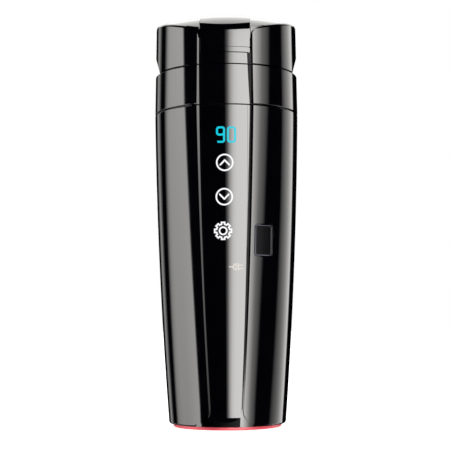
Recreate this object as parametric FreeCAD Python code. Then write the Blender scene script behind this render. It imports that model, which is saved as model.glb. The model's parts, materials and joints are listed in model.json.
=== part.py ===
import FreeCAD, Part
import math
import os

# Electric heated travel mug for a vehicle's low-voltage outlet: steel cup, black shell with a
# recessed control strip, screw-on lid with a flip cover, and a power inlet under a rubber flap.
# Millimetres. +Z is up, the control strip faces -Y, the origin is under the base pad's centre.

# Outer skin
base_skin_radius = 32.0        # where the skin's curve would meet z = 0
seam_skin_radius = 40.0        # widest point, at the shell's upper edge
skin_bulge = 1.42              # how far the side bows out from a straight cone
shell_bottom_z = 1.7
shell_top_z = 172.2
shell_corner = 1.4
collar_bottom_z = 172.85
collar_top_z = 194.1
lid_bottom_z = 194.75
lid_taper = 0.0145             # loss of radius per millimetre above the shell
seam_round = 0.5
wall = 2.8

# Recessed strip down the front
foot_depth = 0.87              # skin to the strip's floor, where it would meet z = 0
depth_gain = 0.0038            # growth of that depth per millimetre of height
bevel_width = 1.0              # slanted edge of each cheek
bevel_depth = 0.55
edge_half_top = 15.0           # half width between the cheeks, at the lid
edge_half_base = 8.7
widest_z = 200.0
backing_wall = 4.8             # skin to the inside of the thicker wall behind the strip
backing_margin = 2.0
foot_corner = 8.0              # rounding of the cheeks' lower corners
foot_corner_z = 3.0
brow_corner = 6.5              # rounding of the cheeks' upper corners
brow_corner_z = 215.6
corner_inset = 0.6             # how far the rounding starts inside the cheek's edge
panel_thickness = 1.1
panel_bottom_z = 9.5
facet_top_z = 6.9              # slanted facet that ends the strip at the foot
facet_bottom_z = 3.6
facet_lean = 1.3

# Domed lid top
dome_long_radius = 58.0        # curve from front to back
dome_cross_radius = 160.0      # curve from side to side
dome_crest_z = 227.5
dome_rim_round = 2.0
lid_side_wall = 2.6
lid_top_wall = 5.2
lid_front_wall = 7.8

# Flip cover
cover_half_width = 13.6
cover_gap = 0.3
cover_inset = 1.65             # skin to the cover's front
cover_proud = 0.9
cover_thickness = 3.5
cover_front_thickness = 3.2
cover_bend = 6.0
cover_foot_z = 200.8
cover_lip_top_z = 203.2
cover_lip_proud = 0.8
cover_pin_y = 28.0
cover_pin_z = 217.0
cover_knuckle = 3.4
cover_trough = 4.8
pin_radius = 1.25
pin_running = 0.05
pin_half_length = 17.0

# Spout and vent, under the flip cover
spout_y = -22.0
spout_bore = 5.0
spout_wall = 1.5
spout_joint_z = 209.7
vent_y = 8.0

# Screw thread between lid and collar, two starts
thread_lead = 10.0
thread_turn = 0.85             # length of each ridge, in turns
skirt_radius = 31.0
skirt_bore = 28.8
skirt_bottom_z = 179.5
collar_bore = 32.7
ridge_reach = 1.4
ridge_root = 1.8
ridge_crest = 0.8
male_ridge_z = 181.5
female_ridge_z = 184.0

# Steel cup
cup_base_radius = 26.2
cup_mouth_radius = 29.2
cup_base_z = 36.0
cup_mouth_z = 177.2
cup_wall = 0.9
cup_flange_radius = 32.4
cup_flange = 0.8
ledge_top_z = 176.2
ledge_bore = 30.2

# Heater under the cup
stud_radius = 1.5
stud_circle = 19.0
stud_tip_z = 26.0
disc_z = 33.0
disc_radius = 24.0
clamp_z = 31.8
clamp_radius = 22.0
nut_z = 29.4
thermostat_radius = 7.8
shield_z = 21.6
shield_radius = 28.2
lead_x = 15.5
lead_y = 1.0

# Base
cap_z = 1.6
cap_top_z = 4.8
cap_radius = 29.2
pad_radius = 29.6
pad_round = 0.6
pad_bore = 16.0
boss_circle = 26.4
boss_radius = 3.2
screw_radius = 1.15
pcb_z = 13.0
pcb_thickness = 1.6
pcb_radius = 21.0
post_circle = 17.0

# Control strip's marks: height of the middle, and sideways offset
digit_z = 156.1
digit_height = 8.8
digit_width = 4.85
digit_stroke = 1.1
digit_corner = 1.6
digit_gap = 0.98
digit_x = 0.45
up_z = 141.25
up_x = -0.3
down_z = 123.05
down_x = -0.6
gear_z = 105.0
gear_x = -1.3
plug_icon_z = 86.0
plug_icon_x = 5.7
icon_ring = 4.65
icon_line = 0.85
gear_reach = 4.85              # hub centre to the teeth's tips
gear_root = 3.95
gear_tooth = 2.5
inlay = 0.35

# Control board behind the strip
board_front_y = -31.2
board_thickness = 1.2
board_half_width = 8.5
board_low_z = 82.0
board_high_z = 168.0

# Power inlet and its rubber flap
port_angle = 32.2              # from the front towards +X
port_z = 100.2
flap_width = 10.1
flap_height = 16.2
flap_corner = 1.3
flap_bevel = 0.5
flap_gap = 0.7
flap_thickness = 1.6
flap_sink = 0.05
pocket_depth = 1.9
port_backing = 5.5
pivot_from_edge = 0.8
jack_bore = 2.9
jack_barrel = 4.15
jack_back_radius = 28.4

turned_axis = FreeCAD.Vector(0, 0, 1)
origin = FreeCAD.Vector(0, 0, 0)


def vec(x, y, z):
    return FreeCAD.Vector(x, y, z)


def skin_circle():
    """Centre and radius of the arc that the shell's side follows, in the (radius, z) plane."""
    rise = shell_top_z
    spread = seam_skin_radius - base_skin_radius
    chord = math.hypot(rise, spread)
    big = (chord * chord / 4 + skin_bulge * skin_bulge) / (2 * skin_bulge)
    mid_r = (base_skin_radius + seam_skin_radius) / 2
    mid_z = rise / 2
    back = big - skin_bulge
    return mid_r - back * rise / chord, mid_z + back * spread / chord, big


def skin(z):
    """Radius of the outer skin at height z."""
    if z > shell_top_z:
        return seam_skin_radius - lid_taper * (z - shell_top_z)
    centre_r, centre_z, big = skin_circle()
    return centre_r + math.sqrt(big * big - (z - centre_z) ** 2)


def edge_half(z):
    fall = (widest_z - z) / widest_z
    return edge_half_top - (edge_half_top - edge_half_base) * fall * fall


def floor_depth(z):
    """Skin to the strip's floor at height z."""
    return foot_depth + depth_gain * z


def land_y(z):
    """Distance from the axis to the flat land beside each cheek's bevel."""
    return math.sqrt(skin(z) ** 2 - edge_half(z) ** 2) - bevel_depth


def floor_half(z):
    """Half width of the strip's curved floor, which meets the flat lands on each side."""
    return math.sqrt((skin(z) - floor_depth(z)) ** 2 - land_y(z) ** 2)


def segment(a, b):
    return Part.LineSegment(a, b).toShape()


def arc(a, b, c):
    return Part.Arc(a, b, c).toShape()


def turned(edges):
    """Solid of revolution about Z from edges that close a face in the XZ half plane."""
    return Part.Face(Part.Wire(edges)).revolve(origin, turned_axis, 360)


def turned_outline(points):
    spots = [vec(r, 0, z) for r, z in points]
    edges = [segment(a, b) for a, b in zip(spots, spots[1:] + spots[:1])]
    return turned(edges)


def ring(outer, inner, z_low, z_high):
    return cylinder(outer, z_low, z_high).cut(cylinder(inner, z_low - 1, z_high + 1))


def cylinder(radius, z_low, z_high, x=0.0, y=0.0):
    return Part.makeCylinder(radius, z_high - z_low, vec(x, y, z_low))


def block(x_low, x_high, y_low, y_high, z_low, z_high):
    size = (x_high - x_low, y_high - y_low, z_high - z_low)
    return Part.makeBox(*size, vec(x_low, y_low, z_low))


def lower_core(offset, z_low, z_high):
    """Everything further than offset inside the shell's curved skin."""
    z_mid = (z_low + z_high) / 2
    low = vec(skin(z_low) - offset, 0, z_low)
    mid = vec(skin(z_mid) - offset, 0, z_mid)
    high = vec(skin(z_high) - offset, 0, z_high)
    floor = vec(0, 0, z_low)
    roof = vec(0, 0, z_high)
    return turned([arc(low, mid, high), segment(high, roof), segment(roof, floor), segment(floor, low)])


def upper_core(offset, z_low, z_high):
    """Everything further than offset inside the collar's and lid's tapered skin."""
    return Part.makeCone(skin(z_low) - offset, skin(z_high) - offset, z_high - z_low, vec(0, 0, z_low))


def floor_core(below, z_low, z_high):
    """Everything further than below under the strip's floor, in the shell's part of it."""
    heights = (-3, (shell_top_z - 3) / 2, shell_top_z)
    low, mid, high = [vec(skin(z) - floor_depth(z) - below, 0, z) for z in heights]
    floor = vec(0, 0, low.z)
    roof = vec(0, 0, high.z)
    core = turned([arc(low, mid, high), segment(high, roof), segment(roof, floor), segment(floor, low)])
    return core.common(block(-60, 60, -60, 60, z_low, z_high))


def channel_section(z, widen):
    edge_x = edge_half(z)
    edge_y = land_y(z) + bevel_depth
    in_x = edge_x - bevel_width + widen
    in_y = land_y(z) - backing_wall * (widen > 0)
    out_x = edge_x + 2 * bevel_width + widen
    out_y = edge_y + 2 * bevel_depth
    far_y = seam_skin_radius + 20
    spots = [
        vec(-in_x, -in_y, z),
        vec(-out_x, -out_y, z),
        vec(-out_x, -far_y, z),
        vec(out_x, -far_y, z),
        vec(out_x, -out_y, z),
        vec(in_x, -in_y, z),
    ]
    return Part.makePolygon(spots + spots[:1])


def channel_wedge(widen):
    heights = (-4, 116, 236)
    return Part.makeLoft([channel_section(z, widen) for z in heights], True, False)


def corner_reliefs():
    """Round off the corners where the cheeks end, at the foot and at the lid's brow."""
    pieces = []
    foot_x = edge_half(foot_corner_z + foot_corner) - corner_inset
    brow_x = edge_half(brow_corner_z - brow_corner) - corner_inset
    for side in (-1, 1):
        low, high = sorted((side * (foot_x - 1), side * (foot_x + foot_corner)))
        slab = block(low, high, -60, 0, foot_corner_z - 4, foot_corner_z + foot_corner)
        centre = vec(side * (foot_x + foot_corner), 0, foot_corner_z + foot_corner)
        round_off = Part.makeCylinder(foot_corner, 60, centre, vec(0, -1, 0))
        pieces.append(slab.cut(round_off))
        low, high = sorted((side * (brow_x - 1), side * (brow_x + brow_corner)))
        slab = block(low, high, -60, 0, brow_corner_z - brow_corner, brow_corner_z + 15)
        centre = vec(side * (brow_x + brow_corner), 0, brow_corner_z - brow_corner)
        round_off = Part.makeCylinder(brow_corner, 60, centre, vec(0, -1, 0))
        pieces.append(slab.cut(round_off))
    return pieces


def channel_tools():
    """What is taken from the lower and upper skins to leave the recessed strip between cheeks."""
    wedge = channel_wedge(0)
    reliefs = corner_reliefs()
    low_core = floor_core(0, -3, shell_top_z)
    low_r = skin(shell_top_z) - floor_depth(shell_top_z)
    high_core = Part.makeCone(low_r, skin(235) - floor_depth(235), 235 - shell_top_z, vec(0, 0, shell_top_z))
    lower = wedge.common(block(-60, 60, -60, 0, -3, shell_top_z)).cut(low_core)
    upper = wedge.common(block(-60, 60, -60, 0, shell_top_z, 235)).cut(high_core)
    facet_r = skin(facet_top_z) - floor_depth(facet_top_z)
    facet = turned_outline([
        (facet_r, facet_top_z),
        (facet_r + 9, facet_top_z),
        (facet_r + 9, -1),
        (facet_r - facet_lean, -1),
        (facet_r - facet_lean, facet_bottom_z),
    ])
    facet = facet.common(wedge)
    return [lower, facet, reliefs[0].cut(low_core), reliefs[2].cut(low_core)], [
        upper,
        reliefs[1].cut(high_core),
        reliefs[3].cut(high_core),
    ]


def cut_all(shape, tools):
    for tool in tools:
        shape = shape.cut(tool)
    return shape


def fuse_all(shapes):
    whole = shapes[0].multiFuse(shapes[1:])
    return whole.removeSplitter()


def capsule(x1, z1, x2, z2, width, y_far=-45, y_near=-25):
    """A stroke with round ends, seen from the front, as a bar that runs along Y."""
    length = math.hypot(x2 - x1, z2 - z1)
    depth = y_near - y_far
    bar = Part.makeBox(length, depth, width, vec(0, y_far, -width / 2))
    ends = [Part.makeCylinder(width / 2, depth, vec(x, y_far, 0), vec(0, 1, 0)) for x in (0, length)]
    stroke = bar.fuse(ends)
    turn = math.degrees(math.atan2(z2 - z1, x2 - x1))
    stroke.rotate(origin, vec(0, -1, 0), turn)
    stroke.translate(vec(x1, 0, z1))
    return stroke


def front_ring(x, z, outer, inner, y_far=-45, y_near=-25):
    big = Part.makeCylinder(outer, y_near - y_far, vec(x, y_far, z), vec(0, 1, 0))
    return big.cut(Part.makeCylinder(inner, y_near - y_far, vec(x, y_far, z), vec(0, 1, 0)))


def panel_skin(thickness):
    """Thin curved layer just under the strip's face."""
    outer = floor_core(0, panel_bottom_z, shell_top_z)
    return outer.cut(floor_core(thickness, panel_bottom_z - 1, shell_top_z))


def rounded_bar(x_low, x_high, z_low, z_high, corner):
    """A bar along Y whose outline, seen from the front, is a rectangle with round corners."""
    bar = block(x_low, x_high, -45, -25, z_low, z_high)
    along = [edge for edge in bar.Edges if edge.BoundBox.YLength > 19]
    return bar.makeFillet(corner, along)


def stroked_loop(x_low, x_high, z_low, z_high):
    outer = rounded_bar(x_low, x_high, z_low, z_high, digit_corner)
    line = digit_stroke
    inner = rounded_bar(x_low + line, x_high - line, z_low + line, z_high - line, digit_corner - line + 0.1)
    return outer.cut(inner)


def digit_marks():
    left = digit_x - digit_gap / 2 - digit_width
    right = digit_x - digit_gap / 2
    low = digit_z - digit_height / 2
    top = digit_z + digit_height / 2
    mid = digit_z - digit_stroke / 2
    reach = digit_corner
    side = block(right - digit_stroke, right, -45, -25, low + reach, top - reach)
    foot = rounded_bar(left, right, low, low + 2 * reach, reach - 0.01)
    foot = foot.cut(block(left - 1, right - digit_stroke, -60, 0, low + digit_stroke, mid))
    foot = foot.cut(block(left - 1, left + 0.7, -60, 0, low - 1, mid))
    foot = foot.cut(block(right - digit_stroke, right + 1, -60, 0, low + reach, mid))
    nine = fuse_all([stroked_loop(left, right, mid, top), side, foot])
    shift = digit_width + digit_gap
    return [nine, stroked_loop(left + shift, right + shift, low, top)]


def arrow_marks(x, z, up):
    span = 2.35
    rise = 1.25 * up
    ring_mark = front_ring(x, z, icon_ring, icon_ring - icon_line)
    left = capsule(x - span, z - rise, x, z + rise, icon_line)
    right = capsule(x, z + rise, x + span, z - rise, icon_line)
    return [ring_mark, fuse_all([left, right])]


def gear_form(inset):
    """A toothed wheel's outline as a bar along Y, smaller all round by inset."""
    body = Part.makeCylinder(gear_root - inset, 20, vec(0, -45, 0), vec(0, 1, 0))
    half = gear_tooth / 2 - inset
    teeth = []
    for turn in range(0, 360, 45):
        tooth = block(-half, half, -45, -25, 0, gear_reach - inset)
        tooth.rotate(origin, vec(0, 1, 0), turn)
        teeth.append(tooth)
    wheel = fuse_all([body] + teeth)
    wheel.translate(vec(gear_x, 0, gear_z))
    return wheel


def gear_marks():
    hub = front_ring(gear_x, gear_z, 2.35, 2.35 - icon_line)
    return [gear_form(0).cut(gear_form(icon_line)), hub]


def plug_marks():
    line = 0.65
    x = plug_icon_x
    z = plug_icon_z
    cord = capsule(x - 3.7, z, x - 1.4, z, line)
    shell_left = front_ring(x - 0.2, z, 1.9, 1.9 - line)
    shell_left = shell_left.common(block(x - 4, x - 0.2, -60, 0, z - 4, z + 4))
    back = capsule(x - 0.2, z - 1.9 + line / 2, x - 0.2, z + 1.9 - line / 2, line)
    shell_right = capsule(x + 0.9, z - 1.7, x + 0.9, z + 1.7, line)
    prongs = [capsule(x + 1.0, z + s, x + 3.0, z + s, line) for s in (-0.9, 0.9)]
    return [fuse_all([cord, shell_left, back]), fuse_all([shell_right] + prongs)]


def in_face(marks):
    layer = panel_skin(inlay)
    return Part.makeCompound([mark.common(layer) for mark in marks])


def outer_shell(channel, wide_wedge):
    corner_z = shell_bottom_z + shell_corner
    corner_r = skin(corner_z)
    slant = shell_corner * (1 - math.sqrt(0.5))
    mid_z = (corner_z + shell_top_z) / 2
    lip_z = shell_top_z - seam_round
    lip_slant = seam_round * (1 - math.sqrt(0.5))
    floor = vec(0, 0, shell_bottom_z)
    foot = vec(corner_r - shell_corner, 0, shell_bottom_z)
    side_low = vec(corner_r, 0, corner_z)
    side_high = vec(skin(lip_z), 0, lip_z)
    lip = vec(skin(lip_z) - seam_round, 0, shell_top_z)
    roof = vec(0, 0, shell_top_z)
    body = turned([
        segment(floor, foot),
        arc(foot, vec(corner_r - slant, 0, shell_bottom_z + slant), side_low),
        arc(side_low, vec(skin(mid_z), 0, mid_z), side_high),
        arc(side_high, vec(skin(lip_z) - lip_slant, 0, shell_top_z - lip_slant), lip),
        segment(lip, roof),
        segment(roof, floor),
    ])
    blank = body
    body = body.cut(lower_core(wall, 0, shell_top_z))
    backing = wide_wedge.common(blank).cut(lower_core(backing_wall, -3, shell_top_z))
    port = port_block(flap_width + 4, flap_height + 4, 2.0, wall - 0.5, port_backing)
    pieces = [body, backing, port]
    for turn in (90, 210, 330):
        x = boss_circle * math.cos(math.radians(turn))
        y = boss_circle * math.sin(math.radians(turn))
        pieces.append(cylinder(boss_radius, cap_top_z, shield_z, x, y))
        rib = block(boss_circle, boss_circle + 4.2, -1.5, 1.5, cap_top_z, shield_z)
        rib.rotate(origin, turned_axis, turn)
        pieces.append(rib)
    body = fuse_all(pieces)
    tools = list(channel)
    tools.append(panel_blank(0.0).cut(floor_core(panel_thickness, -3, shell_top_z)))
    tools.append(port_block(flap_width + 2 * flap_gap, flap_height + 2 * flap_gap,
                            flap_corner + flap_gap, -5, pocket_depth))
    tools.append(port_bore(jack_barrel, jack_back_radius, skin(port_z)))
    for z in (up_z, down_z, gear_z):
        tools.append(Part.makeCylinder(3.6, 20, vec(0, -45, z), vec(0, 1, 0)))
    tools.append(block(-6.2, 6.8, -45, -30, digit_z - 5.4, digit_z + 5.4))
    for turn in (90, 210, 330):
        x = boss_circle * math.cos(math.radians(turn))
        y = boss_circle * math.sin(math.radians(turn))
        tools.append(cylinder(screw_radius, cap_top_z - 1, cap_top_z + 10, x, y))
    return cut_all(body, tools)


def panel_blank(shrink):
    """The strip's own plate: as wide as the channel's floor, curved like it."""
    heights = (panel_bottom_z, 50, 90, 130, shell_top_z)
    sections = []
    for z in heights:
        half = floor_half(z) - shrink
        spots = [vec(-half, -25, z), vec(-half, -60, z), vec(half, -60, z), vec(half, -25, z)]
        sections.append(Part.makePolygon(spots + spots[:1]))
    return Part.makeLoft(sections, True, False)


def control_panel(marks):
    plate = panel_blank(0.1).common(panel_skin(panel_thickness))
    return cut_all(plate, marks)


def port_block(width, height, corner, from_depth, to_depth):
    """A rounded bar aimed at the inlet, between two depths below the skin."""
    half_w = width / 2
    half_h = height / 2
    bar = block(-half_w, half_w, -60, -20, port_z - half_h, port_z + half_h)
    upright = [
        edge for edge in bar.Edges
        if abs(edge.BoundBox.XLength) < 0.01 and abs(edge.BoundBox.ZLength) < 0.01
    ]
    bar = bar.makeFillet(corner, upright)
    z_low = port_z - half_h - 2
    z_high = port_z + half_h + 2
    bar = bar.common(lower_core(from_depth, z_low, z_high))
    bar = bar.cut(lower_core(to_depth, z_low - 1, z_high + 1))
    bar.rotate(origin, turned_axis, port_angle)
    return bar


def port_bore(radius, r_low, r_high):
    bore = Part.makeCylinder(radius, r_high - r_low, vec(0, -r_high, port_z), vec(0, 1, 0))
    bore.rotate(origin, turned_axis, port_angle)
    return bore


def flap_pivot():
    """A point on the flap's hinge line and the line's direction, before turning to the port."""
    x = flap_width / 2 - pivot_from_edge
    radius = skin(port_z)
    y = -math.sqrt(radius * radius - x * x) + flap_sink + flap_thickness / 2
    rise = flap_height / 2
    slope = (skin(port_z + rise) - skin(port_z - rise)) / (2 * rise)
    axis = vec(0, -slope, 1)
    axis.normalize()
    return vec(x, y, port_z), axis


def face_edges(shape, depth):
    """Edges that lie all along the surface at a depth below the skin."""
    found = []
    for edge in shape.Edges:
        spots = edge.discretize(5)
        off = [abs(skin(p.z) - depth - math.hypot(p.x, p.y)) for p in spots]
        if max(off) < 0.05:
            found.append(edge)
    return found


def port_cover():
    flap = port_block(flap_width, flap_height, flap_corner, flap_sink, flap_sink + flap_thickness)
    flap.rotate(origin, turned_axis, -port_angle)
    flap = flap.makeChamfer(flap_bevel, face_edges(flap, flap_sink))
    pivot, axis = flap_pivot()
    flap = flap.cut(block(pivot.x, pivot.x + 5, -60, 0, port_z - 20, port_z + 20))
    half = flap_height / 2 - flap_corner
    start = pivot - axis * half
    knuckle = Part.makeCylinder(flap_thickness / 2, 2 * half, start, axis)
    surface = skin(port_z)
    nub_low = surface - flap_thickness - 1.2
    nub = Part.makeCone(2.0, 2.3, 1.7, vec(0, -nub_low, port_z), vec(0, -1, 0))
    whole = fuse_all([flap, knuckle, nub])
    whole.rotate(origin, turned_axis, port_angle)
    return whole


def jack_socket():
    front = skin(port_z) - pocket_depth
    body = block(-4.6, 4.6, -(skin(port_z) - port_backing - 0.6), -jack_back_radius, port_z - 5.5, port_z + 5.5)
    barrel = Part.makeCylinder(jack_barrel, front - jack_back_radius - 1, vec(0, -front, port_z), vec(0, 1, 0))
    depth = front - jack_back_radius - 1.2
    bore = Part.makeCylinder(jack_bore, depth, vec(0, -front, port_z), vec(0, 1, 0))
    pin_hole = Part.makeCylinder(1.0, 10, vec(0, -jack_back_radius - 5, port_z), vec(0, 1, 0))
    socket = fuse_all([body, barrel]).cut(bore).cut(pin_hole)
    socket.rotate(origin, turned_axis, port_angle)
    return socket


def jack_pin():
    tip = skin(port_z) - pocket_depth - 1.4
    pin = Part.makeCylinder(1.0, tip - jack_back_radius, vec(0, -tip, port_z), vec(0, 1, 0))
    pin.rotate(origin, turned_axis, port_angle)
    return pin


def helical_ridge(radius, reach, z_start, inward):
    """Two helical ridges, half a turn apart, with a slanted section."""
    helix = Part.makeHelix(thread_lead, thread_lead * thread_turn, radius)
    root = ridge_root / 2
    crest = ridge_crest / 2
    sink = 0.3
    if inward:
        root_x = radius + sink
        crest_x = radius - reach
    else:
        root_x = radius - sink
        crest_x = radius + reach
    spots = [vec(root_x, 0, -root), vec(crest_x, 0, -crest), vec(crest_x, 0, crest), vec(root_x, 0, root)]
    profile = Part.makePolygon(spots + spots[:1])
    ridge = Part.Wire(helix).makePipeShell([profile], True, True)
    pair = []
    for start in (0, 180):
        one = ridge.copy()
        one.rotate(origin, turned_axis, start)
        one.translate(vec(0, 0, z_start))
        pair.append(one)
    return pair


def neck_collar(channel, wide_wedge):
    low_z = collar_bottom_z
    top_z = collar_top_z
    edge = seam_round
    slant = edge * (1 - math.sqrt(0.5))
    outer = turned([
        segment(vec(0, 0, low_z), vec(skin(low_z) - edge, 0, low_z)),
        arc(vec(skin(low_z) - edge, 0, low_z), vec(skin(low_z) - slant, 0, low_z + slant),
            vec(skin(low_z + edge), 0, low_z + edge)),
        segment(vec(skin(low_z + edge), 0, low_z + edge), vec(skin(top_z - edge), 0, top_z - edge)),
        arc(vec(skin(top_z - edge), 0, top_z - edge), vec(skin(top_z) - slant, 0, top_z - slant),
            vec(skin(top_z) - edge, 0, top_z)),
        segment(vec(skin(top_z) - edge, 0, top_z), vec(0, 0, top_z)),
        segment(vec(0, 0, top_z), vec(0, 0, low_z)),
    ])
    outer = cut_all(outer, channel)
    outer = outer.cut(cylinder(collar_bore, ledge_top_z, top_z + 1))
    outer = outer.cut(cylinder(ledge_bore, low_z - 1, top_z))
    spigot = ring(seam_skin_radius - wall - 0.2, ledge_bore + 4.4, 167.0, low_z + 0.5)
    spigot = spigot.cut(wide_wedge).cut(lower_front_block())
    whole = fuse_all([outer, spigot] + helical_ridge(collar_bore, ridge_reach, female_ridge_z, True))
    return whole


def lower_front_block():
    """Room behind the strip for the board, kept free of the collar's spigot."""
    return block(-17.5, 17.5, -60, -20, 160, collar_bottom_z - 0.01)


def inner_cup():
    wall_in = cup_wall
    profile = turned_outline([
        (0, cup_base_z),
        (cup_base_radius - 4, cup_base_z),
        (cup_base_radius, cup_base_z + 4),
        (cup_mouth_radius, cup_mouth_z),
        (cup_flange_radius, cup_mouth_z),
        (cup_flange_radius, cup_mouth_z + cup_flange),
        (cup_mouth_radius - wall_in, cup_mouth_z + cup_flange),
        (cup_base_radius - wall_in, cup_base_z + 4),
        (cup_base_radius - 4, cup_base_z + wall_in),
        (0, cup_base_z + wall_in),
    ])
    studs = [stud for stud in stud_bars(stud_radius, stud_tip_z, cup_base_z + 0.3)]
    return fuse_all([profile] + studs)


def stud_bars(radius, z_low, z_high):
    bars = []
    for turn in (90, 210, 330):
        x = stud_circle * math.cos(math.radians(turn))
        y = stud_circle * math.sin(math.radians(turn))
        bars.append(cylinder(radius, z_low, z_high, x, y))
    return bars


def heating_disc():
    disc = cylinder(disc_radius - 2, disc_z, cup_base_z)
    groove = ring(15.6, 14.4, disc_z - 1, disc_z + 0.8)
    return cut_all(disc.cut(groove), stud_bars(stud_radius + 0.05, disc_z - 1, cup_base_z + 1))


def heater_clamp():
    plate = cylinder(clamp_radius, clamp_z, disc_z)
    plate = plate.cut(cylinder(thermostat_radius + 0.3, clamp_z - 1, disc_z + 1))
    plate = plate.cut(cylinder(3.4, clamp_z - 1, disc_z + 1, lead_x, lead_y))
    return cut_all(plate, stud_bars(stud_radius + 0.05, clamp_z - 1, disc_z + 1))


def hexagon(radius, z_low, z_high, x, y, bore):
    spots = []
    for number in range(6):
        turn = math.pi * number / 3
        spots.append(vec(x + radius * math.cos(turn), y + radius * math.sin(turn), z_low))
    solid = Part.Face(Part.makePolygon(spots + spots[:1])).extrude(vec(0, 0, z_high - z_low))
    return solid.cut(cylinder(bore, z_low - 1, z_high + 1, x, y))


def heater_nuts():
    nuts = []
    for turn in (90, 210, 330):
        x = stud_circle * math.cos(math.radians(turn))
        y = stud_circle * math.sin(math.radians(turn))
        nuts.append(hexagon(3.1, nut_z, clamp_z, x, y, stud_radius))
    return Part.makeCompound(nuts)


def thermostat():
    can = cylinder(thermostat_radius, disc_z - 4.0, disc_z)
    base = cylinder(thermostat_radius - 1.2, disc_z - 6.6, disc_z - 4.0)
    tabs = [block(side - 0.3, side + 0.3, -2, 2, disc_z - 9.5, disc_z - 6) for side in (-4, 4)]
    return fuse_all([can, base] + tabs)


def thermal_fuse():
    body = Part.makeCylinder(1.5, 9, vec(-4.5, 13.5, clamp_z - 1.5), vec(1, 0, 0))
    wires = [Part.makeCylinder(0.4, 3, vec(x, 13.5, clamp_z - 1.5), vec(1, 0, 0)) for x in (-7.3, 4.3)]
    return fuse_all([body] + wires)


def temp_sensor():
    gap_radius = cup_base_radius + 0.35 + 1.5
    bead = cylinder(1.5, 46, 54, 0, gap_radius)
    return fuse_all([bead, Part.makeSphere(1.5, vec(0, gap_radius, 54))])


def heat_shield():
    disc = cylinder(shield_radius, shield_z, shield_z + 0.8)
    disc = disc.cut(cylinder(3.4, shield_z - 1, shield_z + 2, lead_x, lead_y))
    disc = disc.cut(cylinder(2.6, shield_z - 1, shield_z + 2, 0, -22))
    return disc.cut(block(-4, 4, -40, -26.8, shield_z - 1, shield_z + 2))


def insulation_sleeve():
    slope = (cup_mouth_radius - cup_base_radius) / (cup_mouth_z - cup_base_z - 4)
    low_z = 62.0
    high_z = 166.0
    low_r = cup_base_radius + slope * (low_z - cup_base_z - 4)
    high_r = cup_base_radius + slope * (high_z - cup_base_z - 4)
    height = high_z - low_z
    outer = Part.makeCone(low_r + 2.6, high_r + 2.6, height, vec(0, 0, low_z))
    inner = Part.makeCone(low_r + 0.4, high_r + 0.4, height, vec(0, 0, low_z))
    sleeve = outer.cut(inner)
    sleeve = sleeve.cut(block(-14, 25, -60, -10, 76, high_z + 1))
    return sleeve.cut(block(-3, 25, -60, -18, low_z - 1, 77))


def base_cap(wide_wedge):
    disc = cylinder(cap_radius, cap_z, cap_top_z)
    disc = disc.cut(wide_wedge.cut(lower_core(backing_wall + 0.1, -3, 20)))
    pieces = [disc]
    for turn in (45, 135, 225, 315):
        x = post_circle * math.cos(math.radians(turn))
        y = post_circle * math.sin(math.radians(turn))
        pieces.append(cylinder(2.4, cap_top_z, pcb_z, x, y))
    body = fuse_all(pieces)
    tools = []
    for turn in (45, 135, 225, 315):
        x = post_circle * math.cos(math.radians(turn))
        y = post_circle * math.sin(math.radians(turn))
        tools.append(cylinder(1.0, pcb_z - 5, pcb_z + 1, x, y))
    for turn in (90, 210, 330):
        x = boss_circle * math.cos(math.radians(turn))
        y = boss_circle * math.sin(math.radians(turn))
        tools.append(cylinder(screw_radius + 0.1, 0, cap_top_z + 1, x, y))
        tools.append(cylinder(2.4, 0, cap_z + 1.6, x, y))
    return cut_all(body, tools)


def base_screws():
    screws = []
    for turn in (90, 210, 330):
        x = boss_circle * math.cos(math.radians(turn))
        y = boss_circle * math.sin(math.radians(turn))
        head = cylinder(2.3, cap_z + 0.2, cap_z + 1.6, x, y)
        shank = cylinder(screw_radius, cap_z + 1.6, cap_top_z + 8, x, y)
        screw = head.fuse(shank)
        slot = block(x - 1.4, x + 1.4, y - 0.3, y + 0.3, cap_z, cap_z + 0.8)
        cross = block(x - 0.3, x + 0.3, y - 1.4, y + 1.4, cap_z, cap_z + 0.8)
        screws.append(cut_all(screw, [slot, cross]))
    return Part.makeCompound(screws)


def base_pad():
    pad = ring(pad_radius, pad_bore, 0, cap_z)
    rim = [edge for edge in pad.Edges if edge.BoundBox.ZMax < 0.01 and edge.BoundBox.XLength > 2 * pad_radius - 1]
    pad = pad.makeFillet(pad_round, rim)
    grooves = [ring(r + 0.5, r, -1, 0.5) for r in (19, 22, 25)]
    return cut_all(pad, grooves)


def power_pcb():
    board = cylinder(pcb_radius, pcb_z, pcb_z + pcb_thickness)
    tools = []
    for turn in (45, 135, 225, 315):
        x = post_circle * math.cos(math.radians(turn))
        y = post_circle * math.sin(math.radians(turn))
        tools.append(cylinder(1.1, pcb_z - 1, pcb_z + 3, x, y))
    return cut_all(board, tools)


def pcb_screws():
    top = pcb_z + pcb_thickness
    screws = []
    for turn in (45, 135, 225, 315):
        x = post_circle * math.cos(math.radians(turn))
        y = post_circle * math.sin(math.radians(turn))
        screws.append(cylinder(2.0, top, top + 1.3, x, y).fuse(cylinder(1.0, top - 5, top, x, y)))
    return Part.makeCompound(screws)


def power_components():
    top = pcb_z + pcb_thickness
    return Part.makeCompound([
        block(-8, 3, -5, 4, top, top + 6.2),
        cylinder(3.1, top, top + 6.0, -12.5, -2.5),
        cylinder(3.1, top, top + 6.0, -5.5, 10.5),
        block(6, 12, -7, -1, top, top + 3.2),
        block(5.5, 9.5, 1.5, 5.5, top, top + 1.0),
        block(-3, 3, -18.5, -14.5, top, top + 4.0),
        block(lead_x - 1.5, lead_x + 1.5, lead_y - 2.8, lead_y + 2.8, top, top + 4.0),
    ])


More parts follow.
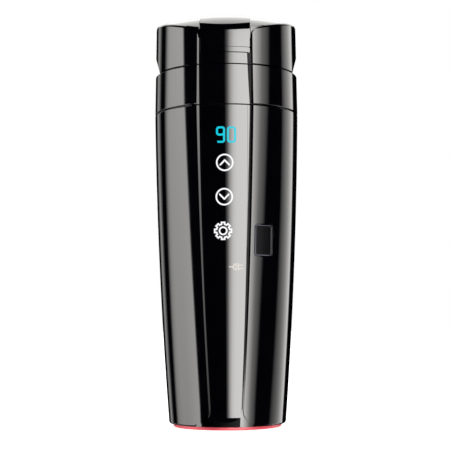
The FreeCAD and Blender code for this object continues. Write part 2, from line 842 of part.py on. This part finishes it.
def rounded_path(points, radius):
    """A round wire or cord through the points, as straight runs with ball joints."""
    pieces = []
    for a, b in zip(points, points[1:]):
        run = b - a
        pieces.append(Part.makeCylinder(radius, run.Length, a, run))
    for joint in points[1:-1]:
        pieces.append(Part.makeSphere(radius, joint))
    return fuse_all(pieces)


def heater_leads():
    top = pcb_z + pcb_thickness + 4.0
    return Part.makeCompound([
        rounded_path([vec(lead_x, lead_y + s, top), vec(lead_x, lead_y + s, disc_z)], 0.9)
        for s in (-1.2, 1.2)
    ])


def inlet_leads():
    leads = []
    for shift in (-2.0, 2.0):
        points = [
            vec(shift, -30.4, port_z - 5.5),
            vec(shift, -30.6, 60),
            vec(shift, -29.45, 32),
            vec(shift, -29.3, 19),
            vec(shift, -19.0, pcb_z + pcb_thickness + 0.9),
        ]
        lead = rounded_path(points, 0.75)
        lead.rotate(origin, turned_axis, port_angle)
        leads.append(lead)
    return Part.makeCompound(leads)


def display_lead():
    leads = []
    for shift in (-2.4, -0.8, 0.8, 2.4):
        points = [
            vec(shift, -30.6, board_low_z),
            vec(shift, -29.0, 50),
            vec(shift, -27.6, 34),
            vec(shift * 0.6, -22.4, 25),
            vec(shift * 0.6, -21.2, 19.4),
            vec(shift * 0.6, -19.2, 16.6),
        ]
        leads.append(rounded_path(points, 0.5))
    return fuse_all(leads)


def control_pcb():
    back_y = board_front_y + board_thickness
    board = block(-board_half_width, board_half_width, board_front_y, back_y, board_low_z, board_high_z)
    chips = [
        block(-4, 4, back_y, back_y + 0.9, 86, 94),
        block(-3, 3, back_y, back_y + 0.8, 99, 103),
    ]
    return fuse_all([board] + chips)


def display_module():
    case = block(-7.6, 8.2, board_front_y - 2.2, board_front_y, digit_z - 6.4, digit_z + 6.4)
    window = block(-5.6, 6.2, board_front_y - 4, board_front_y - 1.6, digit_z - 4.8, digit_z + 4.8)
    return case.cut(window)


def touch_springs():
    springs = []
    for z in (up_z, down_z, gear_z):
        reach = skin(z) - floor_depth(z) - panel_thickness - 0.25 + board_front_y
        outer = Part.makeCone(2.0, 3.0, reach, vec(0, board_front_y, z), vec(0, -1, 0))
        inner = Part.makeCone(1.3, 2.3, reach, vec(0, board_front_y, z), vec(0, -1, 0))
        springs.append(outer.cut(inner))
    return Part.makeCompound(springs)


def pillow(offset):
    """Everything further than offset below the lid's double-curved dome."""
    radius = dome_long_radius - offset
    centre_z = dome_crest_z - dome_long_radius
    hinge_z = dome_crest_z - dome_cross_radius
    reach = 44.0
    shoulder = centre_z + math.sqrt(radius * radius - reach * reach)
    low = 180.0
    left = vec(0, -reach, shoulder)
    right = vec(0, reach, shoulder)
    crest = vec(0, 0, centre_z + radius)
    edges = [
        arc(left, crest, right),
        segment(right, vec(0, reach, low)),
        segment(vec(0, reach, low), vec(0, -reach, low)),
        segment(vec(0, -reach, low), left),
    ]
    face = Part.Face(Part.Wire(edges))
    face.rotate(vec(0, 0, hinge_z), vec(0, 1, 0), -16)
    return face.revolve(vec(0, 0, hinge_z), vec(0, 1, 0), 32)


def rim_rounded(shape, radius):
    """Round the edge between a lid-shaped body's side and its dome."""
    rim = [edge for edge in shape.Edges if edge.BoundBox.ZMin > 204 and edge.BoundBox.XLength > 20]
    return shape.makeFillet(radius, rim)


def lid_form(side_offset, dome_offset, z_low, rounding):
    body = upper_core(side_offset, z_low, 236).common(pillow(dome_offset))
    return rim_rounded(body, rounding)


def cover_underside(gap):
    """What lies under the flip cover, at a gap from its inner faces."""
    side = cover_inset + cover_front_thickness + gap
    return lid_form(side, cover_thickness - cover_proud + gap, 197, cover_bend - 2.5)


def cover_strap(gap):
    """The strap-shaped space of the flip cover, grown by a gap on its inner faces."""
    half = cover_half_width + gap
    foot_z = cover_foot_z - gap
    clear = 3.0 if gap > 0 else 0.0
    outer = lid_form(cover_inset - clear, -cover_proud - clear, 198, cover_bend)
    slab = block(-half, half, -60, cover_pin_y, foot_z, 240)
    return outer.cut(cover_underside(gap)).common(slab)


def flip_cover():
    strap = cover_strap(0)
    lip = upper_core(cover_inset - cover_lip_proud, cover_foot_z, cover_lip_top_z)
    lip = lip.cut(upper_core(cover_inset + 1, cover_foot_z - 1, cover_lip_top_z + 1))
    lip = lip.common(block(-12.6, 12.6, -60, 0, cover_foot_z, cover_lip_top_z))
    knuckle = x_bar(cover_knuckle, cover_half_width).common(pillow(-cover_proud))
    whole = fuse_all([strap, lip, knuckle])
    groove = upper_core(cover_inset - 2, cover_lip_top_z + 0.1, cover_lip_top_z + 0.7)
    groove = groove.cut(upper_core(cover_inset + 0.6, cover_lip_top_z - 1, cover_lip_top_z + 2))
    whole = whole.cut(groove)
    return whole.cut(x_bar(pin_radius + pin_running, cover_half_width + 5))


def x_bar(radius, half_length):
    """A round bar along X on the flip cover's hinge line."""
    return Part.makeCylinder(radius, 2 * half_length, vec(-half_length, cover_pin_y, cover_pin_z), vec(1, 0, 0))


def lid_shell(channel, wide_wedge):
    body = lid_form(0, 0, lid_bottom_z, dome_rim_round)
    cavity = upper_core(lid_side_wall, lid_bottom_z - 1, 236).common(pillow(lid_top_wall))
    front = wide_wedge.common(cavity).cut(upper_core(lid_front_wall, lid_bottom_z - 1, 236))
    cavity = cavity.cut(front)
    cavity = cavity.cut(x_bar(cover_trough + 1.8, cover_half_width + 3))
    for x, y in lid_screw_places():
        cavity = cavity.cut(cylinder(3.2, 199.0, 226, x, y))
    body = body.cut(cavity)
    body = cut_all(body, channel)
    body = body.cut(cover_strap(cover_gap))
    body = body.cut(x_bar(cover_trough, cover_half_width + cover_gap))
    body = body.cut(x_bar(pin_radius, pin_half_length))
    body = body.cut(cylinder(spout_bore + spout_wall, 205, 226, 0, spout_y))
    body = body.cut(cylinder(1.2, 205, 229, 0, vent_y))
    for x, y in lid_screw_places():
        body = body.cut(cylinder(1.1, 198, 208, x, y))
    return body


def lid_screw_places():
    return [(-19.5, -8.0), (19.5, -8.0), (0.0, 20.5)]


def lid_inner():
    skirt = ring(skirt_radius, skirt_bore, skirt_bottom_z, 196.6)
    deck = cylinder(31.5, 196.2, 199.0)
    spout = cylinder(spout_bore + spout_wall, 199.0, spout_joint_z, 0, spout_y)
    ridges = helical_ridge(skirt_radius, ridge_reach, male_ridge_z, False)
    body = fuse_all([skirt, deck, spout] + ridges)
    tools = [cylinder(spout_bore, 190, 215, 0, spout_y), cylinder(1.4, 190, 205, 0, vent_y)]
    for x, y in lid_screw_places():
        tools.append(cylinder(1.3, 190, 200, x, y))
        tools.append(cylinder(2.6, 190, 197.6, x, y))
    return cut_all(body, tools)


def lid_screws():
    screws = []
    for x, y in lid_screw_places():
        screws.append(cylinder(2.4, 196.3, 197.6, x, y).fuse(cylinder(1.1, 197.6, 207, x, y)))
    return Part.makeCompound(screws)


def lid_baffle():
    disc = cylinder(27.4, 188.0, 189.2)
    rim = ring(28.7, 27.4, 188.0, 196.2)
    baffle = fuse_all([disc, rim])
    tools = [cylinder(spout_bore, 180, 195, 0, spout_y)]
    for x in (-3, 0, 3):
        tools.append(cylinder(0.9, 180, 195, x, vent_y))
    return cut_all(baffle, tools)


def lid_seal():
    """Soft ring under the lid's skirt: a flat lip outside and an upstand inside the skirt."""
    return turned_outline([
        (27.6, 178.25),
        (30.9, 178.25),
        (30.9, 179.45),
        (28.74, 179.45),
        (28.74, 184.0),
        (27.6, 184.0),
    ])


def spout_insert():
    tube = ring(spout_bore + spout_wall, spout_bore, spout_joint_z, 219.0)
    flange = ring(7.6, spout_bore, spout_joint_z, spout_joint_z + 1.6)
    insert = tube.fuse(flange)
    insert.translate(vec(0, spout_y, 0))
    return insert.removeSplitter().common(cover_underside(cover_gap))


def vent_valve():
    return fuse_all([
        cylinder(4.0, 199.0, 199.8, 0, vent_y),
        cylinder(1.4, 194.6, 199.0, 0, vent_y),
        cylinder(1.9, 194.0, 194.6, 0, vent_y),
    ])


def plug_carrier():
    return cylinder(4.0, 214.8, 221.0, 0, spout_y).common(cover_underside(0))


def spout_plug():
    cup = Part.makeCone(4.2, 4.6, 7.0, vec(0, spout_y, 212.4))
    cup = cup.cut(cylinder(4.0, 214.8, 222, 0, spout_y))
    return cup.common(cover_underside(0))


def save(name, shape):
    shape.exportStep(os.path.join("parts", name + ".step"))


def main():
    os.makedirs("parts", exist_ok=True)
    lower_channel, upper_channel = channel_tools()
    wide_wedge = channel_wedge(backing_margin)
    marks = {
        "display_digits": digit_marks(),
        "touch_icon_up": arrow_marks(up_x, up_z, 1),
        "touch_icon_down": arrow_marks(down_x, down_z, -1),
        "touch_icon_settings": gear_marks(),
        "icon_power_inlet": plug_marks(),
    }
    inlays = {name: in_face(shapes) for name, shapes in marks.items()}
    for name, shape in inlays.items():
        save(name, shape)
    save("control_panel", control_panel(list(inlays.values())))
    save("outer_shell", outer_shell(lower_channel, wide_wedge))
    save("neck_collar", neck_collar(upper_channel, wide_wedge))
    save("cup_rim_seal", ring(cup_flange_radius, ledge_bore + 0.2, ledge_top_z, cup_mouth_z))
    save("inner_cup", inner_cup())
    save("insulation_sleeve", insulation_sleeve())
    save("heating_disc", heating_disc())
    save("heater_clamp", heater_clamp())
    save("heater_nuts", heater_nuts())
    save("thermostat", thermostat())
    save("thermal_fuse", thermal_fuse())
    save("temp_sensor", temp_sensor())
    save("heat_shield", heat_shield())
    save("power_pcb", power_pcb())
    save("pcb_screws", pcb_screws())
    save("power_components", power_components())
    save("heater_leads", heater_leads())
    save("inlet_leads", inlet_leads())
    save("display_lead", display_lead())
    save("control_pcb", control_pcb())
    save("display_module", display_module())
    save("touch_springs", touch_springs())
    save("jack_socket", jack_socket())
    save("jack_pin", jack_pin())
    save("port_cover", port_cover())
    save("base_cap", base_cap(wide_wedge))
    save("base_screws", base_screws())
    save("base_pad", base_pad())
    save("lid_seal", lid_seal())
    save("lid_shell", lid_shell(upper_channel, wide_wedge))
    save("lid_inner", lid_inner())
    save("lid_screws", lid_screws())
    save("lid_baffle", lid_baffle())
    save("spout_insert", spout_insert())
    save("vent_valve", vent_valve())
    save("hinge_pin", x_bar(pin_radius, pin_half_length))
    save("flip_cover", flip_cover())
    save("plug_carrier", plug_carrier())
    save("spout_plug", spout_plug())


main()
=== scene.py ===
import json
import math
from functools import partial

import bpy
from mathutils import Matrix, Vector

# Heated travel mug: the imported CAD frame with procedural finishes, lit as a gloss black product.
# Metres. +Z is up and the control strip faces -Y. The named directions round the mug are measured
# from its front towards +X.

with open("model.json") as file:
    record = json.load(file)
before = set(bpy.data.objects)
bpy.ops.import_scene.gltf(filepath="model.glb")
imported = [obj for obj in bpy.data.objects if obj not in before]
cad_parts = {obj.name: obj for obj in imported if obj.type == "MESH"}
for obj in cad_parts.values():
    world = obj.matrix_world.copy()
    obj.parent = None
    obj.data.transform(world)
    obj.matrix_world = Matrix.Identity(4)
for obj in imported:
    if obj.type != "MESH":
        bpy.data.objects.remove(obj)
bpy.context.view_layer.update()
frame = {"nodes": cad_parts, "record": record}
nodes = frame["nodes"]
scene = bpy.context.scene

# Camera
CAMERA_DISTANCE = 0.649
CAMERA_HEIGHT = 0.0578
CAMERA_TURN = math.radians(1.0)
CAMERA_ROLL = math.radians(-0.22)
AIM_X = -0.0010
AIM_Z = 0.1111
LENS_MM = 93.05
SENSOR_MM = 36.0

# The moulded skin, as in the CAD: an arc in (radius, height) below the seam, a cone above it
SEAM_Z = 0.1722
SEAM_RADIUS = 0.040
BASE_RADIUS = 0.032
SKIN_BULGE = 0.00142
LID_TAPER = 0.0145
FOOT_DEPTH = 0.00087            # skin to the control strip's floor, where it would meet z = 0
DEPTH_GAIN = 0.0038             # growth of that depth per metre of height
SKIN_TOLERANCE = 0.00006        # how near a point has to be to count as on a moulded surface
FLAP_SINK = 0.00005
BEVEL_START = 0.00007           # below the flap's face, where its bevel, painted paler as a painted highlight, begins

# Finishes
NOISE_RANGE = (0.3, 0.7)        # the stretch of the noise that the roughness follows
TINT_RANGE = (0.35, 0.65)       # the stretch of the noise that the colour follows
BUMP_STRENGTH = 0.4
PLAIN_DARK = 0.92               # a plain slot's darker tint, as a share of its own colour

# Light ring. RING_LEVELS holds (degrees from the front, brightness) at the height SPLAY_LOW
RING_RADIUS = 1.5
RING_LOW = -1.2
RING_SEGMENTS = 144
RING_PEAK = 15.0
RING_LEVELS = [
    (-180, 0.0), (-150, 0.0), (-140, 1.2), (-128, 0.0), (-116, 0.0), (-108, 2.6), (-98, 4.2),
    (-63, 6.8), (-59, 7.0), (-57, 0.0), (-1, 0.0), (2.5, 2.0), (6, 7.5), (11, 12.6), (17, 14.6),
    (31, 15.0), (38, 10.6), (49, 3.0), (57, 1.3), (61, 0.0), (94, 0.0), (99, 0.8), (115, 2.2),
    (127, 3.5), (134, 3.7), (137, 0.0), (180, 0.0),
]
WARM_TINT = (1.0, 0.985, 0.965)
FRONT_LIGHT_TOP = 0.655
FRONT_LIGHT_FROM = -20          # degrees from the front
FRONT_LIGHT_TO = 42
SIDE_LIGHT_TOP = 0.80
SPLAY = 0.22                    # the share by which the bands' directions widen over SPLAY_HEIGHT
SPLAY_LOW = -0.05
SPLAY_HEIGHT = 0.6
SPLAY_LEAST = -0.4
SPLAY_END = math.radians(110)   # the bands further round than this stay upright
SPLAY_FADE = math.radians(30)

# Panel behind the mug
BACK_Y = 1.5
BACK_HALF_WIDTH = 1.6
BACK_LOW = 0.79
BACK_HIGH = 2.7
BACK_STRENGTH = 2.2
BACK_TINT = (1, 0.99, 0.97, 1)

# Room
ROOM_RADIUS = 6.0
FLOOR_RADIUS = 5.5
FLOOR_WHITE = 0.94
FLOOR_GLOW = 0.7


# ---------------------------------------------------------------- node helpers

def math_node(tree, operation, a, b=None):
    """A Math node whose inputs are numbers or other nodes' outputs."""
    node = tree.nodes.new("ShaderNodeMath")
    node.operation = operation
    for place, value in enumerate((a, b)):
        if isinstance(value, (int, float)):
            node.inputs[place].default_value = value
        elif value is not None:
            tree.links.new(value, node.inputs[place])
    return node.outputs["Value"]


def mix_node(tree, data_type, factor, low, high):
    """A Mix node of two vectors or two colours. Its inputs are outputs or plain values."""
    mix = tree.nodes.new("ShaderNodeMix")
    mix.data_type = data_type
    tree.links.new(factor, mix.inputs["Factor"])
    ends = [end for end in mix.inputs if end.type == data_type and end.name in ("A", "B")]
    for socket, value in zip(ends, (low, high)):
        if isinstance(value, tuple):
            socket.default_value = value
        else:
            tree.links.new(value, socket)
    return next(end for end in mix.outputs if end.type == data_type)


def add_noise(tree, scale, detail, roughness):
    where = tree.nodes.new("ShaderNodeTexCoord")
    noise = tree.nodes.new("ShaderNodeTexNoise")
    noise.inputs["Scale"].default_value = scale
    noise.inputs["Detail"].default_value = detail
    noise.inputs["Roughness"].default_value = roughness
    tree.links.new(where.outputs["Object"], noise.inputs["Vector"])
    return noise


def skin_terms(tree):
    """Where a point lies against the turned skin: x, y, z, radius, slope, and depth inside it."""
    calc = partial(math_node, tree)
    chord = math.hypot(SEAM_Z, SEAM_RADIUS - BASE_RADIUS)
    arc_radius = (chord * chord / 4 + SKIN_BULGE * SKIN_BULGE) / (2 * SKIN_BULGE)
    centre_r = (BASE_RADIUS + SEAM_RADIUS) / 2 - (arc_radius - SKIN_BULGE) * SEAM_Z / chord
    centre_z = SEAM_Z / 2 + (arc_radius - SKIN_BULGE) * (SEAM_RADIUS - BASE_RADIUS) / chord
    place = tree.nodes.new("ShaderNodeTexCoord")
    split = tree.nodes.new("ShaderNodeSeparateXYZ")
    tree.links.new(place.outputs["Object"], split.inputs["Vector"])
    x, y, z = [split.outputs[axis] for axis in "XYZ"]
    radius = calc("SQRT", calc("ADD", calc("MULTIPLY", x, x), calc("MULTIPLY", y, y)))
    rise = calc("SUBTRACT", z, centre_z)
    root = calc("SQRT", calc("SUBTRACT", arc_radius * arc_radius, calc("MULTIPLY", rise, rise)))
    above = calc("SUBTRACT", z, SEAM_Z)
    is_high = calc("GREATER_THAN", above, 0.0)
    is_low = calc("SUBTRACT", 1.0, is_high)
    low_skin = calc("MULTIPLY", calc("ADD", root, centre_r), is_low)
    high_radius = calc("SUBTRACT", SEAM_RADIUS, calc("MULTIPLY", above, LID_TAPER))
    skin = calc("ADD", low_skin, calc("MULTIPLY", high_radius, is_high))
    low_slope = calc("MULTIPLY", calc("DIVIDE", rise, root), is_low)
    slope = calc("ADD", low_slope, calc("MULTIPLY", is_high, LID_TAPER))
    inside = calc("SUBTRACT", skin, radius)
    return {"x": x, "y": y, "z": z, "radius": radius, "slope": slope, "inside": inside}


def moulded_normal(tree):
    """The exact normal of the turned skin and of the strip's floor, and the mesh's own elsewhere."""
    calc = partial(math_node, tree)
    terms = skin_terms(tree)
    floor_depth = calc("ADD", calc("MULTIPLY", terms["z"], DEPTH_GAIN), FOOT_DEPTH)
    from_floor = calc("ABSOLUTE", calc("SUBTRACT", terms["inside"], floor_depth))
    on_skin = calc("LESS_THAN", calc("ABSOLUTE", terms["inside"]), SKIN_TOLERANCE)
    on_floor = calc("LESS_THAN", from_floor, SKIN_TOLERANCE)
    upward = calc("ADD", terms["slope"], calc("MULTIPLY", on_floor, DEPTH_GAIN))
    join = tree.nodes.new("ShaderNodeCombineXYZ")
    tree.links.new(calc("DIVIDE", terms["x"], terms["radius"]), join.inputs["X"])
    tree.links.new(calc("DIVIDE", terms["y"], terms["radius"]), join.inputs["Y"])
    tree.links.new(upward, join.inputs["Z"])
    turn = tree.nodes.new("ShaderNodeVectorTransform")
    turn.vector_type = "NORMAL"
    turn.convert_from = "OBJECT"
    turn.convert_to = "WORLD"
    tree.links.new(join.outputs["Vector"], turn.inputs["Vector"])
    own = tree.nodes.new("ShaderNodeNewGeometry")
    exact = calc("MAXIMUM", on_skin, on_floor)
    return mix_node(tree, "VECTOR", exact, own.outputs["Normal"], turn.outputs["Vector"])


# ---------------------------------------------------------------- finishes

def new_material(name):
    material = bpy.data.materials.new(name)
    material.use_nodes = True
    tree = material.node_tree
    shader = tree.nodes["Principled BSDF"]
    return material, tree, shader


def uneven_gloss(tree, shader, noise, low, high):
    """Roughness that drifts between two values with the noise."""
    ranged = tree.nodes.new("ShaderNodeMapRange")
    ranged.inputs["From Min"].default_value = NOISE_RANGE[0]
    ranged.inputs["From Max"].default_value = NOISE_RANGE[1]
    ranged.inputs["To Min"].default_value = low
    ranged.inputs["To Max"].default_value = high
    tree.links.new(noise.outputs["Fac"], ranged.inputs["Value"])
    tree.links.new(ranged.outputs["Result"], shader.inputs["Roughness"])


def bump(tree, shader, noise, distance):
    node = tree.nodes.new("ShaderNodeBump")
    node.inputs["Strength"].default_value = BUMP_STRENGTH
    node.inputs["Distance"].default_value = distance
    tree.links.new(noise.outputs["Fac"], node.inputs["Height"])
    tree.links.new(node.outputs["Normal"], shader.inputs["Normal"])
    return node


def tinted(tree, noise, colour_a, colour_b):
    """A colour that drifts between two others with the noise."""
    ramp = tree.nodes.new("ShaderNodeValToRGB")
    elements = ramp.color_ramp.elements
    for element, place, colour in zip(elements, TINT_RANGE, (colour_a, colour_b)):
        element.position = place
        element.color = (*colour, 1)
    tree.links.new(noise.outputs["Fac"], ramp.inputs["Fac"])
    return ramp.outputs["Color"]


def plastic(name, dark, light, gloss, grain, depth, moulded=False):
    """A moulded surface: slightly uneven colour and roughness over a fine grain."""
    material, tree, shader = new_material(name)
    broad = add_noise(tree, 60.0, 2.0, 0.5)
    tree.links.new(tinted(tree, broad, dark, light), shader.inputs["Base Color"])
    uneven_gloss(tree, shader, broad, *gloss)
    relief = bump(tree, shader, add_noise(tree, grain, 3.0, 0.6), depth)
    if moulded:
        tree.links.new(moulded_normal(tree), relief.inputs["Normal"])
    return material


def flap_rubber_with_painted_highlight(name):
    """Black rubber whose moulded bevel is painted a paler grey, as a painted highlight."""
    material, tree, shader = new_material(name)
    grain = add_noise(tree, 2200.0, 3.0, 0.6)
    black = tinted(tree, grain, (0.0012, 0.0012, 0.0018), (0.002, 0.002, 0.0028))
    inside = skin_terms(tree)["inside"]
    # Painted highlight: the bevel below the flap's face is painted a paler grey
    painted_highlight_bevel = math_node(tree, "GREATER_THAN", inside, FLAP_SINK + BEVEL_START)
    colour = mix_node(tree, "RGBA", painted_highlight_bevel, black, (0.13, 0.13, 0.16, 1))
    tree.links.new(colour, shader.inputs["Base Color"])
    shader.inputs["Specular IOR Level"].default_value = 0.06
    uneven_gloss(tree, shader, grain, 0.30, 0.40)
    bump(tree, shader, grain, 4e-6)
    return material


def glowing(name, colour, strength):
    """A back-lit mark: nearly black itself, so that its own light sets its colour."""
    material, tree, shader = new_material(name)
    soft = add_noise(tree, 300.0, 1.0, 0.5)
    dark, light = [[channel * share for channel in colour] for share in (0.01, 0.02)]
    tree.links.new(tinted(tree, soft, dark, light), shader.inputs["Base Color"])
    shader.inputs["Roughness"].default_value = 0.3
    shader.inputs["Specular IOR Level"].default_value = 0.1
    shader.inputs["Emission Color"].default_value = (*colour, 1)
    shader.inputs["Emission Strength"].default_value = strength
    return material


def visible_finishes():
    """The finishes matched to what shows, by the record's material slot."""
    return {
        "shell_black": plastic(
            "piano_black", (0.0006, 0.0006, 0.0012), (0.0009, 0.0009, 0.0017),
            (0.05, 0.07), 900.0, 2e-7, moulded=True,
        ),
        "panel_black": plastic(
            "smoked_panel", (0.0005, 0.0005, 0.0010), (0.0007, 0.0007, 0.0013),
            (0.04, 0.055), 900.0, 1e-7, moulded=True,
        ),
        "display_cyan": glowing("cyan_segments", (0.004, 0.58, 0.72), 1.0),
        "icon_white": glowing("white_icons", (0.95, 0.95, 0.97), 1.0),
        "icon_grey": glowing("grey_icon", (0.75, 0.71, 0.65), 0.9),
        "flap_rubber": flap_rubber_with_painted_highlight("flap_rubber"),
        "pad_red": plastic(
            "pad_red", (0.66, 0.045, 0.07), (0.76, 0.06, 0.09),
            (0.4, 0.5), 1800.0, 8e-6,
        ),
    }


def finish_nodes():
    """Every CAD node gets its slot's finish. A slot with none of its own is plain moulded."""
    made = visible_finishes()
    record = frame["record"]
    colours = {entry["slot"]: entry["base_color"] for entry in record["materials"]}
    for entry in record["subparts"]:
        slot = entry["material_slot"]
        if slot not in made:
            light = colours[slot][:3]
            dark = [channel * PLAIN_DARK for channel in light]
            made[slot] = plastic(slot, dark, light, (0.35, 0.45), 1500.0, 3e-6)
        materials = nodes[entry["node"]].data.materials
        materials.clear()
        materials.append(made[slot])


# ---------------------------------------------------------------- studio

def emission_material(name, strength):
    """An emitting material, with its tree and its Emission node."""
    material = bpy.data.materials.new(name)
    material.use_nodes = True
    tree = material.node_tree
    tree.nodes.clear()
    glow = tree.nodes.new("ShaderNodeEmission")
    glow.inputs["Strength"].default_value = strength
    out = tree.nodes.new("ShaderNodeOutputMaterial")
    tree.links.new(glow.outputs["Emission"], out.inputs["Surface"])
    return material, tree, glow


def splayed_turn(tree):
    """The angle round the mug from its front, drawn in with height so that the bands lean out."""
    calc = partial(math_node, tree)
    place = tree.nodes.new("ShaderNodeNewGeometry")
    split = tree.nodes.new("ShaderNodeSeparateXYZ")
    tree.links.new(place.outputs["Position"], split.inputs["Vector"])
    x, y, z = [split.outputs[axis] for axis in "XYZ"]
    turn = calc("ARCTAN2", x, calc("MULTIPLY", y, -1.0))
    lift = calc("DIVIDE", calc("SUBTRACT", z, SPLAY_LOW), SPLAY_HEIGHT)
    lift = calc("MAXIMUM", lift, SPLAY_LEAST)
    hold = calc("DIVIDE", calc("SUBTRACT", SPLAY_END, calc("ABSOLUTE", turn)), SPLAY_FADE)
    hold = calc("MINIMUM", calc("MAXIMUM", hold, 0.0), 1.0)
    lean = calc("MULTIPLY", calc("MULTIPLY", lift, hold), SPLAY)
    return calc("DIVIDE", turn, calc("ADD", lean, 1.0))


def ring_material():
    """Light whose brightness follows the direction around the mug."""
    material, tree, glow = emission_material("ring_light", RING_PEAK)
    ranged = tree.nodes.new("ShaderNodeMapRange")
    ranged.inputs["From Min"].default_value = -math.pi
    ranged.inputs["From Max"].default_value = math.pi
    tree.links.new(splayed_turn(tree), ranged.inputs["Value"])
    ramp = tree.nodes.new("ShaderNodeValToRGB")
    elements = ramp.color_ramp.elements
    places = [((degrees + 180) / 360, level / RING_PEAK) for degrees, level in RING_LEVELS]
    elements[0].position, elements[1].position = places[0][0], places[-1][0]
    elements[0].color = (0, 0, 0, 1)
    elements[1].color = (0, 0, 0, 1)
    for place, share in places[1:-1]:
        elements.new(place).color = (*[share * channel for channel in WARM_TINT], 1)
    tree.links.new(ranged.outputs["Result"], ramp.inputs["Fac"])
    tree.links.new(ramp.outputs["Color"], glow.inputs["Color"])
    return material


def light_only(obj):
    """Shown in reflections and not to the camera. It lights no matt surface and casts no shadow."""
    obj.visible_camera = False
    obj.visible_diffuse = False
    obj.visible_shadow = False


def stage_mesh(name, verts, faces, material):
    mesh = bpy.data.meshes.new(name)
    mesh.from_pydata(verts, [], faces)
    obj = bpy.data.objects.new(name, mesh)
    scene.collection.objects.link(obj)
    mesh.materials.append(material)
    return obj


def light_ring():
    """An upright band of light all round the mug. Its top is lower in front."""
    verts = []
    for number in range(RING_SEGMENTS):
        angle = 2 * math.pi * number / RING_SEGMENTS
        from_front = math.degrees(angle) - 270
        in_front = FRONT_LIGHT_FROM < from_front < FRONT_LIGHT_TO
        top = FRONT_LIGHT_TOP if in_front else SIDE_LIGHT_TOP
        x = RING_RADIUS * math.cos(angle)
        y = RING_RADIUS * math.sin(angle)
        verts += [(x, y, RING_LOW), (x, y, top)]
    faces = []
    for number in range(RING_SEGMENTS):
        here = 2 * number
        after = 2 * ((number + 1) % RING_SEGMENTS)
        faces.append((here, after, after + 1, here + 1))
    ring = stage_mesh("studio_ring", verts, faces, ring_material())
    light_only(ring)
    ring.visible_transmission = False


def back_light():
    """A tall panel behind the mug that the dome of the lid reflects at a glancing angle."""
    material, _, glow = emission_material("back_light", BACK_STRENGTH)
    glow.inputs["Color"].default_value = BACK_TINT
    corners = [(-1, BACK_LOW), (1, BACK_LOW), (1, BACK_HIGH), (-1, BACK_HIGH)]
    verts = [(side * BACK_HALF_WIDTH, BACK_Y, z) for side, z in corners]
    light_only(stage_mesh("studio_back", verts, [(0, 1, 2, 3)], material))


def white_room():
    """A white surround and floor. The gloss doesn't reflect them, so its darks stay black."""
    bpy.ops.mesh.primitive_uv_sphere_add(segments=64, ring_count=32, radius=ROOM_RADIUS)
    room = bpy.context.object
    room.name = "studio_room"
    material, _, glow = emission_material("room_light", 1.0)
    glow.inputs["Color"].default_value = (1, 1, 1, 1)
    room.data.materials.append(material)
    room.visible_glossy = False
    room.visible_shadow = False
    bpy.ops.mesh.primitive_circle_add(vertices=96, radius=FLOOR_RADIUS, fill_type="NGON")
    floor = bpy.context.object
    floor.name = "studio_floor"
    material, _, shader = new_material("floor_white")
    shader.inputs["Base Color"].default_value = (FLOOR_WHITE, FLOOR_WHITE, FLOOR_WHITE, 1)
    shader.inputs["Roughness"].default_value = 0.9
    shader.inputs["Specular IOR Level"].default_value = 0.0
    shader.inputs["Emission Color"].default_value = (1, 1, 1, 1)
    shader.inputs["Emission Strength"].default_value = FLOOR_GLOW
    floor.data.materials.append(material)
    floor.visible_glossy = False


def dark_world():
    world = bpy.data.worlds.new("world")
    scene.world = world
    world.use_nodes = True
    world.node_tree.nodes["Background"].inputs["Strength"].default_value = 0.0
    scene.view_settings.view_transform = "Standard"


def camera():
    data = bpy.data.cameras.new("camera")
    data.lens = LENS_MM
    data.sensor_width = SENSOR_MM
    data.sensor_fit = "HORIZONTAL"
    cam = bpy.data.objects.new("camera", data)
    scene.collection.objects.link(cam)
    across = CAMERA_DISTANCE * math.sin(CAMERA_TURN)
    back = CAMERA_DISTANCE * math.cos(CAMERA_TURN)
    place = Vector((across, -back, CAMERA_HEIGHT))
    aim = Vector((AIM_X, 0.0, AIM_Z))
    turn = (aim - place).to_track_quat("-Z", "Y").to_matrix().to_4x4()
    roll = Matrix.Rotation(CAMERA_ROLL, 4, "Z")
    cam.matrix_world = Matrix.Translation(place) @ turn @ roll
    scene.camera = cam


finish_nodes()
light_ring()
back_light()
white_room()
camera()
dark_world()
